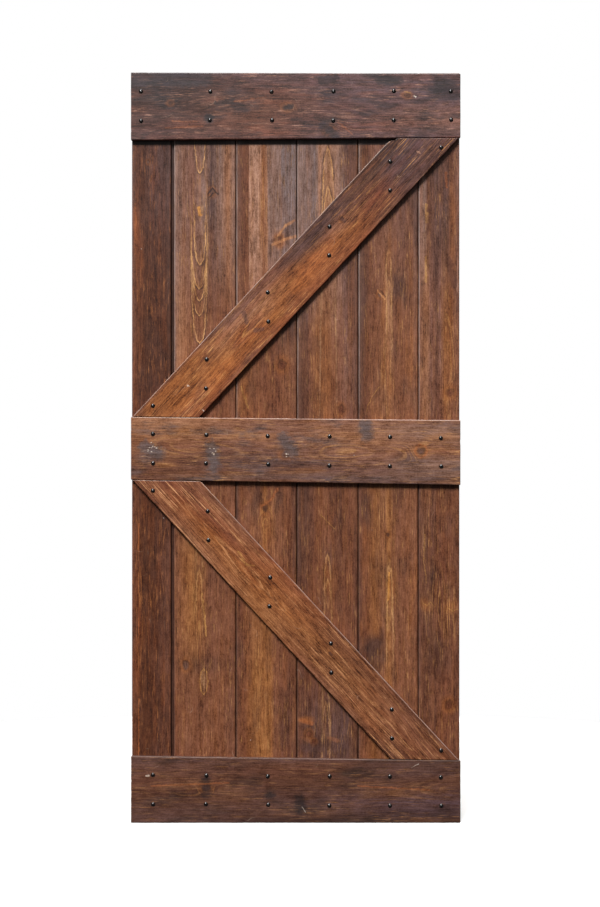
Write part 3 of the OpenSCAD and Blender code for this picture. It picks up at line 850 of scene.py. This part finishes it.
LOOKS["upper_brace"] = look(
    stain=[
        (0.1, "0 brick, 0.3 flame, 0.6 rust, 0.9 rust, 1 chestnut"),
        (0.3, "0 brick, 0.3 rust, 0.6 tan, 0.85 rose, 1 cocoa"),
        (0.55, "0 brick, 0.4 flame, 0.7 rust, 0.88 wine, 1 cocoa"),
        (0.68, "0 brick, 0.35 rust, 0.65 rose, 0.85 wine, 1 plum"),
        (0.8, "0 cocoa, 0.4 brick, 0.7 cocoa, 1 umber"),
        (0.92, "0 wine, 0.5 grape, 1 soot"),
    ],
    marks=[
        ("sand", 1, 0.4, [(0, 0.093), (0.013, 0.093), (0.033, 0.088), (0.05, 0.076)]),
        ("sand", 2.8, 0.75, [(0.975, 0.06), (0.977, 0.052)], [(0.937, 0), (0.96, 0)]),
        ("bone", 2.3, 0.7, [(0.044, 0.085), (0.045, 0.082)], [(0.022, 0.007), (0.022, 0.003)]),
        ("plum", 8, 0.6, [(0.304, 0.11), (0.289, 0.085)], [(0.287, 0.052), (0.307, 0.04)]),
        ("plum", 6.8, 0.6, [(0.69, 0.09), (0.69, 0.078)]),
    ],
    heart=[(0, 0.05), (0.4, 0.075), (0.8, 0.06), (1.2, 0.08)],
    depth=[(0, 0.03), (0.45, 0.012), (0.8, 0.03), (1.2, 0.03)],
    figure=[(0.27, 0.07, 0.08, 0.03, 0.6)],
    glow=[(0.27, 0.06, 0.06, 0.03, 0.6), (0.56, 0.06, 0.08, 0.02, 0.4)],
    shade=[(0.96, 0.07, 0.1, 0.07, 0.45), (0.6, 0.12, 0.13, 0.03, 0.9)],
    knots=[(0.689, 0.086, 0.005, 1.3, "red")],
    amber="#9c542a", dusk="#4f3634", gold="#c08650", lines=0.2, ring=0.0038, purple=0.4, streaks=0.8,
    contrast=1.35, dash=0.06,
)
LOOKS["lower_brace"] = look(
    stain=[
        (0.05, "0 russet, 0.5 brick, 1 chestnut"),
        (0.3, "0 clay, 0.4 rust, 0.6 brick, 1 chestnut"),
        (0.5, "0 sienna, 0.5 rust, 1 brick"),
        (0.75, "0 chestnut, 0.5 sienna, 1 russet"),
        (1.1, "0 cocoa, 0.5 russet, 1 cocoa"),
    ],
    marks=[
        ("ochre", 3, 0.55, [(0.373, 0.074), (0.397, 0.075), (0.412, 0.088)],
            [(0.352, 0.082), (0.38, 0.081)]),
        ("umber", 5.1, 0.7, [(0.74, 0.078), (0.75, 0.079)]),
    ],
    heart=[(0, 0.07), (0.45, 0.06), (0.8, 0.08), (1.2, 0.06)],
    depth=[(0, 0.02), (0.42, 0.003), (0.6, 0.02), (0.9, 0.014), (1.2, 0.03)],
    figure=[(0.42, 0.06, 0.1, 0.03, 0.6), (0.9, 0.05, 0.2, 0.03, 0.4)],
    glow=[(0.42, 0.06, 0.05, 0.02, 0.6), (0.95, 0.03, 0.1, 0.02, 0.4)],
    knots=[(0.743, 0.078, 0.004, 1.4, "red")],
    amber="#9c5c34", dusk="#5a3526", gold="#c68e60", lines=0.35, ring=0.0032, purple=0.3, streaks=1,
    contrast=1.4, dash=0.12,
)


# --------------------------------------------------------------------- meshes

def add_piece(node, points, faces, wear_and_light, grain, span):
    """A wooden piece with its attributes and finish, in the place of a CAD node.
    span is where its stripes begin and end along v."""
    mesh = bpy.data.meshes.new(node + "_wood")
    mesh.from_pydata(points.tolist(), [], faces)
    turn_outward(mesh)
    mesh.shade_smooth()
    mesh.set_sharp_from_angle(angle=math.radians(38))
    own = LOOKS[node]
    u, v = grain.local(points)
    tone = np.stack([spots(u, v, own[kind]) for kind in ("glow", "shade", "light")], axis=1)
    heart = np.stack([through(own["heart"], u), through(own["depth"], u), 0 * u], axis=1)
    add_attribute(mesh, "tone", "FLOAT_VECTOR", "vector", tone)
    add_attribute(mesh, "heart", "FLOAT_VECTOR", "vector", heart)
    add_attribute(mesh, "wear_and_light", "FLOAT", "value", wear_and_light)
    add_attribute(mesh, "figure", "FLOAT", "value", spots(u, v, own["figure"]))
    mesh.materials.append(wood(node + "_stain", own, grain, span))
    return place_piece(mesh, node)


def add_attribute(mesh, name, kind, field, values):
    attribute = mesh.attributes.new(name, kind, "POINT")
    attribute.data.foreach_set(field, values.astype(np.float32).ravel())


def turn_outward(mesh):
    """Makes every face look out of the solid."""
    shape = bmesh.new()
    shape.from_mesh(mesh)
    bmesh.ops.recalc_face_normals(shape, faces=shape.faces)
    shape.to_mesh(mesh)
    shape.free()


def place_piece(mesh, node):
    piece = bpy.data.objects.new(mesh.name, mesh)
    bpy.context.scene.collection.objects.link(piece)
    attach(piece, "root")
    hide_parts(node)
    return piece


def close_near_ends(length, ease, step):
    """Shares of a length, close together over the eased ends and `step` apart between."""
    near = ease * np.array([0, 0.1, 0.28, 0.55, 0.85, 1.2, 2.0])
    count = max(2, round((length - 2 * near[-1]) / step))
    middle = np.linspace(near[-1], length - near[-1], count + 1)
    return np.concatenate([near[:-1], middle, length - near[-2::-1]]) / length


def board_profile(left, right, bevels, tongue, groove):
    """Points round a board's section, each x, y and edge value (wear and painted light and shade) an array
    over the rings.
    """
    bevel_l, bevel_r = bevels
    flat = 0 * bevel_l
    points = []

    def point(x, y, wear_and_light=0.0):
        points.append((x + flat, y + flat, wear_and_light + flat))

    for share in np.linspace(0, 1, round((right - left) / STEP_ACROSS)):
        edge = max(0.0, 1 - 12 * min(share, 1 - share))
        point(left + bevel_l + share * (right - left - bevel_l - bevel_r), BOARD_FACE, 0.1 * edge)
    # The bevel beside the tongue, and the tongue where the seam stands open, are painted dark as shade
    for turn in (0.35, 0.7, 1.0):
        swell = 0.4 * turn * (1 - turn)
        point(
            right - bevel_r * (1 - turn - swell / 2), BOARD_FACE + bevel_r * (turn - swell / 2),
            -0.3 - 0.4 * turn if tongue else 0.0
        )
    if tongue:
        reach, thick = TONGUE
        point(right, TONGUE_Y - thick / 2, -0.6)
        point(right + reach - 0.001, TONGUE_Y - thick / 2, -0.6)
        point(right + reach, TONGUE_Y - thick / 2 + 0.001, -0.6)
        point(right + reach, TONGUE_Y + thick / 2 - 0.001)
        point(right + reach - 0.001, TONGUE_Y + thick / 2)
        point(right, TONGUE_Y + thick / 2)
    else:
        point(right, TONGUE_Y)
    point(right, BACK - BACK_BEVEL, -0.9 if tongue else 0.3)
    for share in np.linspace(0, 1, round((right - left) / STEP_ACROSS / 2)):
        point(right - BACK_BEVEL - share * (right - left - 2 * BACK_BEVEL), BACK)
    point(left, BACK - BACK_BEVEL, -0.9 if groove else 0.3)
    if groove:
        reach, thick = GROOVE
        point(left, TONGUE_Y + thick / 2)
        point(left + reach, TONGUE_Y + thick / 2)
        point(left + reach, TONGUE_Y - thick / 2)
        point(left, TONGUE_Y - thick / 2, -0.6)
    else:
        point(left, TONGUE_Y)
    # The bevel beside the groove is painted pale as a highlight, lit from the left
    for turn in (1.0, 0.7, 0.35):
        swell = 0.4 * turn * (1 - turn)
        point(
            left + bevel_l * (1 - turn - swell / 2), BOARD_FACE + bevel_l * (turn - swell / 2),
            1.0 if groove and turn < 1 else 0.0
        )
    x, y, wear_and_light = (np.stack(part) for part in zip(*points))
    return x, y, wear_and_light


def tube_faces(rings, around):
    """Faces of a solid made of rings of points, one after another, and closed at its ends."""
    faces = []
    last = (rings - 1) * around
    for first in range(0, last, around):
        for i in range(around):
            j = (i + 1) % around
            faces.append((first + i, first + j, first + around + j, first + around + i))
    return faces + [tuple(range(around)), tuple(range(last, last + around))]


def board(number):
    """A planed board with a tongue and a groove, eased edges and a slightly uneven face."""
    node = f"board_{number}"
    low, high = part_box(node)
    tongue, groove = number < BOARDS, number > 1
    left = low.x
    right = high.x - (TONGUE[0] if tongue else 0)
    ends = np.array([0, 0.0005, 0.0014, 0.003])
    count = round((high.z - low.z) / STEP_ALONG)
    z = np.concatenate([
        low.z + ends[:-1], np.linspace(low.z + ends[-1], high.z - ends[-1], count),
        high.z - ends[-2::-1]
    ])
    bevels = [
        (SEAM_BEVEL if joined else OUTER_BEVEL) * (0.95 + 0.16 * wobble(z, 3 * number + side, 0.3))
        for side, joined in enumerate((groove, tongue))
    ]
    x, y, wear_and_light = board_profile(left, right, bevels, tongue, groove)

    # The face dips a little between its edges, and the ends are eased
    share = np.clip((x - left) / (right - left), 0, 1)
    dip = FACE_DIP * np.sin(math.pi * share) * (1 + wobble(z, number, 0.7))[None, :]
    y = np.where(y < BOARD_FACE + 0.0001, y + dip, y)
    inset = np.zeros_like(z)
    inset[:3] = inset[-1:-4:-1] = (0.0011, 0.0005, 0.0001)
    ahead = np.roll(x, -1, 0) - np.roll(x, 1, 0), np.roll(y, -1, 0) - np.roll(y, 1, 0)
    size = np.hypot(*ahead)
    x = x - inset * ahead[1] / size
    y = y + inset * ahead[0] / size
    points = np.stack([x.T, y.T, np.repeat(z[:, None], len(x), 1)], axis=2).reshape(-1, 3)
    points[:, 2] = np.clip(points[:, 2], low.z, high.z)

    faces = tube_faces(len(z), len(x))
    grain = Grain((0, 0, 1), (1, 0, 0))
    return add_piece(node, points, faces, wear_and_light.T.ravel(), grain, (left, right))


def edge_distance(points, start, end):
    """How far points lie inside the edge from start to end and along it, and its inward way."""
    way = (end - start) / np.linalg.norm(end - start)
    inward = np.array([-way[1], way[0]])
    return (points - start) @ inward, (points - start) @ way, inward


def recess(along, length, seed, chip):
    """How far an edge stands back from its straight line: a little everywhere, more at nicks,
    and most where a chip of some length and depth is missing at its far end."""
    depth = 0.00018 * (1 + wobble(along, seed, 0.12))
    draw = random.Random(seed)
    for _ in range(round(length / 0.16)):
        middle, half = draw.uniform(0, length), draw.uniform(0.002, 0.006)
        depth += draw.uniform(0.0003, 0.0011) * np.exp(-((along - middle) / half) ** 2)
    if chip:
        reach, full = chip
        depth += np.interp(length - along, [0, reach - full, reach], [full, 0.9 * full, 0])
    return depth


def round_front(inside, eases):
    """How far points lie into the rounding of the front edges, from 0 to 1, and their depth."""
    end_ease, long_ease = eases
    low, far, high, near = [distance for distance, _, _ in inside]
    near_end = np.clip(1 - np.minimum(far, near) / end_ease, 0, 1)
    near_long = np.clip(1 - np.minimum(low, high) / long_ease, 0, 1)
    turn = np.clip(np.hypot(near_end, near_long), 0, 1)
    both = near_end ** 2 + near_long ** 2 + 1e-9
    ease = (end_ease * near_end ** 2 + long_ease * near_long ** 2) / both
    return turn, RAIL_FACE + ease * (1 - np.sqrt(1 - turn ** 2))


def wear_outline(plan, edges, inside, seed, chip):
    """Points moved in from nicked and chipped edges and from the blunted corners."""
    worn = plan.copy()
    for number, (distance, along, inward) in enumerate(inside):
        run = np.linalg.norm(edges[number][1] - edges[number][0])
        back = recess(along, run, seed + number, chip if number == 1 else None)
        reach = max(0.006, 3 * back.max())
        pull = back * np.clip(1 - distance / reach, 0, 1) ** 2
        worn += pull[:, None] * inward
    for number in range(4):
        (d1, _, n1), (d2, _, n2) = inside[number], inside[(number + 1) % 4]
        a, b = np.clip(1 - d1 / CORNER_BLUNT, 0, 1), np.clip(1 - d2 / CORNER_BLUNT, 0, 1)
        worn += (CORNER_BLUNT * a * (1 - np.sqrt(1 - b ** 2 / 2)))[:, None] * n1
        worn += (CORNER_BLUNT * b * (1 - np.sqrt(1 - a ** 2 / 2)))[:, None] * n2
    return worn


def rim_of(rows, columns):
    """The points round the outside of a grid, in order."""
    return (
        [i * columns for i in range(rows)]
        + [(rows - 1) * columns + j for j in range(1, columns)]
        + [i * columns + columns - 1 for i in range(rows - 2, -1, -1)]
        + [j for j in range(columns - 2, 0, -1)]
    )


def panel_faces(rows, columns, layers):
    """Faces of a front grid, of a back one, and of the sides through some layers of rim points."""
    rim = rim_of(rows, columns)
    starts = [rows * columns + number * len(rim) for number in range(layers + 1)]
    faces = []
    for i in range(rows - 1):
        for j in range(columns - 1):
            a = i * columns + j
            quad = (a, a + columns, a + columns + 1, a + 1)
            faces.append(quad)
            faces.append(tuple(starts[-1] + k for k in reversed(quad)))
    sides = [range(start, start + len(rim)) for start in starts[:-1]]
    loops = [rim, *sides, [starts[-1] + i for i in rim]]
    for upper, lower in zip(loops, loops[1:]):
        for i in range(len(rim)):
            j = (i + 1) % len(rim)
            faces.append((upper[i], upper[j], lower[j], lower[i]))
    return faces


def panel(node, corners, eases, grain, chip=None, top_wear_and_light=1.0):
    """A rail or brace: a plank with worn, eased front edges and blunted corners.
    Corners are x and z, anticlockwise as seen from the front, from the start of the lower edge.
    The chip is missing from the far end's upper corner."""
    start, end, far_end, far_start = corners
    length, width = np.linalg.norm(end - start), np.linalg.norm(far_start - start)
    s = close_near_ends(length, eases[0], STEP_ALONG)[:, None, None]
    t = close_near_ends(width, eases[1], STEP_ACROSS)[None, :, None]
    plan = (1 - s) * (1 - t) * start + s * (1 - t) * end + s * t * far_end + (1 - s) * t * far_start
    rows, columns = plan.shape[:2]
    plan = plan.reshape(-1, 2)
    edges = [(start, end), (end, far_end), (far_end, far_start), (far_start, start)]
    inside = [edge_distance(plan, *edge) for edge in edges]
    turn, depth = round_front(inside, eases)
    seed = sum(map(ord, node))
    u, v = grain.local(np.stack([plan[:, 0], 0 * plan[:, 0], plan[:, 1]], axis=1))
    dip = PANEL_DIP * (2 + wobble(u, seed, 0.5) + wobble(v, seed + 1, 0.11))
    depth += dip * (1 - turn)
    worn = wear_outline(plan, edges, inside, seed, chip)

    # Edges that face up are rubbed pale and painted as lit, and those that face down are painted dark as
    # shade
    facing = np.choose(np.argmin([d for d, _, _ in inside], axis=0), [-n[1] for _, _, n in inside])
    rub_and_light = np.interp(facing, [-0.3, 0.5, 0.9, 1.0], [-0.3, 1.0, 1.0, top_wear_and_light])
    edge_wear_and_light = np.where(turn > 0, turn * rub_and_light, 0)
    front = np.stack([worn[:, 0], depth, worn[:, 1]], axis=1)
    layers, layer_wear_and_light = [front], [edge_wear_and_light]
    rim = rim_of(rows, columns)
    sides = ((0.1, 0.2), (0.5, 0.0), (0.9, 0.0))
    for share, amount in sides:
        layer = front[rim].copy()
        layer[:, 1] += share * (BOARD_FACE - layer[:, 1])
        layers.append(layer)
        layer_wear_and_light.append(amount * edge_wear_and_light[rim])
    back_layer = front.copy()
    back_layer[:, 1] = BOARD_FACE
    points = np.concatenate([*layers, back_layer])
    wear_and_light = np.concatenate([*layer_wear_and_light, np.zeros(len(back_layer))])
    faces = panel_faces(rows, columns, len(sides))
    return add_piece(node, points, faces, wear_and_light, grain, (v.min(), v.max()))


def rail_corners(node):
    """A rail's corners on its back, anticlockwise from the left of its lower edge."""
    low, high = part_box(node)
    flat = [v.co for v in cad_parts[node].data.vertices if v.co.y > high.y - 1e-5]
    left = [p.z for p in flat if p.x < low.x + 1e-4]
    right = [p.z for p in flat if p.x > high.x - 1e-4]
    return [
        np.array(corner) for corner in
        ((low.x, min(left)), (high.x, min(right)), (high.x, max(right)), (low.x, max(left)))
    ]


def brace_corners(node, near_slope, beyond_slope, rising):
    """A brace's corners, anticlockwise from the tip at its left end or the corner under it."""
    low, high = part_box(node)
    back = np.array([v.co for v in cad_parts[node].data.vertices if v.co.y > high.y - 1e-5])
    start = back[back[:, 0].argmin()][[0, 2]]
    end = back[back[:, 0].argmax()][[0, 2]]
    way = 1 if rising else -1
    span = end - start
    angle = math.atan2(abs(span[1]), span[0]) + math.asin(BRACE_W / np.linalg.norm(span))
    along = np.array([math.cos(angle), way * math.sin(angle)])

    def meet(point, goal, slope):
        gap = goal[1] - point[1] + slope * (point[0] - goal[0])
        return point + along * gap / (along[1] - slope * along[0])

    beside_end = meet(start, end, beyond_slope)
    beside_start = meet(end, start, near_slope)
    if rising:
        return [beside_start, end, beside_end, start], along
    return [start, beside_end, end, beside_start], along


def slope(corners, lower):
    """Slope of a rail's lower or upper edge."""
    left, right = (corners[0], corners[1]) if lower else (corners[3], corners[2])
    return (right[1] - left[1]) / (right[0] - left[0])


def brace_grain(corners, along):
    """A brace's axes, with v measured from its lower edge."""
    across = np.array([-along[1], along[0]])
    return Grain((along[0], 0, along[1]), (across[0], 0, across[1]),
                 (corners[0][0], 0, corners[0][1]))


def screw_mesh():
    """One screw: a domed head with a cross recess, a shank and a point.
    The underside of its head is at y 0."""
    dome_r = (HEAD_R ** 2 + HEAD_DOME ** 2) / (2 * HEAD_DOME)
    blunt_r, blunt_l = POINT_BLUNT
    profile = [(0.0, SCREW_L), (blunt_r, SCREW_L - blunt_l), (SHANK_R, SCREW_L - POINT_L),
               (SHANK_R, 0.0), (HEAD_R - HEAD_EASE, 0.0), (HEAD_R, -HEAD_EASE), (HEAD_R, -HEAD_RIM)]
    for step in range(1, 11):
        radius = HEAD_R * math.cos(step / 10 * math.pi / 2)
        height = HEAD_RIM + HEAD_DOME - dome_r + math.sqrt(dome_r ** 2 - radius ** 2)
        profile.append((radius, -height))
    shape = bmesh.new()
    rim = [shape.verts.new((radius, depth, 0)) for radius, depth in profile]
    chain = [shape.edges.new(pair) for pair in zip(rim, rim[1:])]
    bmesh.ops.spin(
        shape, geom=rim + chain, cent=(0, 0, 0), axis=(0, 1, 0), angle=math.tau, steps=28
    )
    bmesh.ops.remove_doubles(shape, verts=shape.verts, dist=1e-6)
    bmesh.ops.recalc_face_normals(shape, faces=shape.faces)
    mesh = bpy.data.meshes.new("one_screw")
    shape.to_mesh(mesh)
    shape.free()
    return cut_recess(mesh)


def cut_recess(mesh):
    """Cuts the tapered cross into a screw head's dome."""
    top = -(HEAD_RIM + HEAD_DOME)
    half_l, half_w = RECESS_HALF
    mouth = [(-half_l, -half_w), (half_l, -half_w), (half_l, half_w), (-half_l, half_w)]
    floor = [(x * 0.42, z * 0.62) for x, z in mouth]
    shape = bmesh.new()
    for turn in (0, math.pi / 2):
        spin = Matrix.Rotation(turn, 4, "Y")
        upper = [shape.verts.new(spin @ Vector((x, top - 0.001, z))) for x, z in mouth]
        lower = [shape.verts.new(spin @ Vector((x, top + RECESS_DEPTH, z))) for x, z in floor]
        shape.faces.new(upper)
        shape.faces.new(lower[::-1])
        for i in range(4):
            j = (i + 1) % 4
            shape.faces.new((upper[i], lower[i], lower[j], upper[j]))
    bmesh.ops.recalc_face_normals(shape, faces=shape.faces)
    cutter_mesh = bpy.data.meshes.new("recess_cutter")
    shape.to_mesh(cutter_mesh)
    shape.free()
    body = bpy.data.objects.new("one_screw", mesh)
    cutter = bpy.data.objects.new("recess_cutter", cutter_mesh)
    for helper in (body, cutter):
        bpy.context.scene.collection.objects.link(helper)
    cut = body.modifiers.new("recess", "BOOLEAN")
    cut.operation = "DIFFERENCE"
    cut.solver = "EXACT"
    cut.use_self = True
    cut.object = cutter
    ready = body.evaluated_get(bpy.context.evaluated_depsgraph_get())
    result = bpy.data.meshes.new_from_object(ready)
    for helper in (body, cutter):
        bpy.data.objects.remove(helper)
    return result


def screw_places(node):
    """x and z of every screw in a CAD node, from the tips of their points."""
    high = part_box(node)[1]
    places = []
    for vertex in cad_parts[node].data.vertices:
        tip = Vector((vertex.co.x, vertex.co.z))
        if vertex.co.y > high.y - 1e-5 and all((tip - p).length > 0.005 for p in places):
            places.append(tip)
    return places


def screw_group(node, one, metal):
    """All the screws of one rail or brace, each turned its own way."""
    draw = random.Random(node)
    shape = bmesh.new()
    for x, z in screw_places(node):
        turn = Matrix.Rotation(draw.uniform(0, math.pi / 2), 4, "Y")
        before = len(shape.verts)
        shape.from_mesh(one)
        shape.verts.ensure_lookup_table()
        move = Matrix.Translation((x, RAIL_FACE, z)) @ turn
        bmesh.ops.transform(shape, matrix=move, verts=shape.verts[before:])
    mesh = bpy.data.meshes.new(node + "_metal")
    shape.to_mesh(mesh)
    shape.free()
    mesh.shade_smooth()
    mesh.set_sharp_from_angle(angle=math.radians(35))
    mesh.materials.append(metal)
    return place_piece(mesh, node)


def build_door():
    for number in range(1, BOARDS + 1):
        board(number)
    rails = {node: rail_corners(node) for node in ("top_rail", "middle_rail", "bottom_rail")}
    for node, corners in rails.items():
        panel(node, corners, RAIL_EASE, Grain((1, 0, 0), (0, 0, 1)))
    upper, along = brace_corners(
        "upper_brace", slope(rails["middle_rail"], False), slope(rails["top_rail"], True), True
    )
    grain = brace_grain(upper, along)
    panel("upper_brace", upper, BRACE_EASE, grain, BRACE_CHIP, top_wear_and_light=0.35)
    lower, along = brace_corners(
        "lower_brace", slope(rails["middle_rail"], True), slope(rails["bottom_rail"], False), False
    )
    panel("lower_brace", lower, BRACE_EASE, brace_grain(lower, along))
    one, metal = screw_mesh(), black_metal("screw_lacquer")
    for node in sorted(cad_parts):
        if node.endswith("_screws"):
            screw_group(node, one, metal)


# --------------------------------------------------------------- studio, camera

def add_light(name, kind, energy, place, aim, **settings):
    light = bpy.data.lights.new(name, kind)
    light.energy = energy
    for key, value in settings.items():
        setattr(light, key, value)
    lamp = bpy.data.objects.new(name, light)
    lamp.location = place
    lamp.rotation_euler = (Vector(aim) - Vector(place)).to_track_quat("-Z", "Y").to_euler()
    bpy.context.scene.collection.objects.link(lamp)
    return lamp


def sun(name, share, azimuth, elevation, width):
    """A sun that gives a surface facing it `share` of full white."""
    a, e = math.radians(azimuth), math.radians(elevation)
    way = Vector((math.sin(a) * math.cos(e), -math.cos(a) * math.cos(e), math.sin(e)))
    return add_light(name, "SUN", share * math.pi, way * 8, (0, 0, 0), angle=math.radians(width))


def softbox(name, radiance, place, aim, wide, tall):
    """A rectangular light that the camera doesn't see."""
    energy = radiance * math.pi * wide * tall
    box = add_light(name, "AREA", energy, place, aim, shape="RECTANGLE", size=wide, size_y=tall)
    box.visible_camera = False
    return box


def light_studio():
    sun("key", 1.22, -18, 40, 20)
    sun("overhead", 0.6, -20, 80, 30)
    sun("back", 0.7, 160, 50, 40)
    softbox("front_softbox", 0.35, (-0.1, -3.2, 2.75), (0, 0, 1.7), 3.4, 1.8)
    world = bpy.data.worlds.new("studio")
    bpy.context.scene.world = world
    world.use_nodes = True
    nodes, links = world.node_tree.nodes, world.node_tree.links
    nodes.clear()
    seen = nodes.new("ShaderNodeLightPath")
    level = nodes.new("ShaderNodeMapRange")
    level.inputs["To Min"].default_value = 0.07
    level.inputs["To Max"].default_value = 1.0
    glow = nodes.new("ShaderNodeBackground")
    glow.inputs["Color"].default_value = (1, 1, 1, 1)
    out = nodes.new("ShaderNodeOutputWorld")
    links.new(seen.outputs["Is Camera Ray"], level.inputs["Value"])
    links.new(level.outputs[0], glow.inputs["Strength"])
    links.new(glow.outputs[0], out.inputs["Surface"])


def lay_floor():
    shape = bmesh.new()
    bmesh.ops.create_circle(shape, cap_ends=True, segments=96, radius=2.5)
    mesh = bpy.data.meshes.new("floor")
    shape.to_mesh(mesh)
    shape.free()
    floor = bpy.data.objects.new("floor", mesh)
    floor.location = (0, 0, DOOR_LOW.z)
    floor.visible_diffuse = floor.visible_glossy = False
    bpy.context.scene.collection.objects.link(floor)
    mesh.materials.append(floor_finish())


def set_camera():
    """Squarely in front, six metres from the rails, at the photograph's height."""
    camera = bpy.data.cameras.new("camera")
    camera.lens = CAMERA_LENS
    view = bpy.data.objects.new("camera", camera)
    view.location = CAMERA_PLACE
    view.rotation_euler = (math.pi / 2, 0, 0)
    bpy.context.scene.collection.objects.link(view)
    bpy.context.scene.camera = view
    bpy.context.scene.view_settings.view_transform = "Standard"


set_camera()
light_studio()
lay_floor()
build_door()
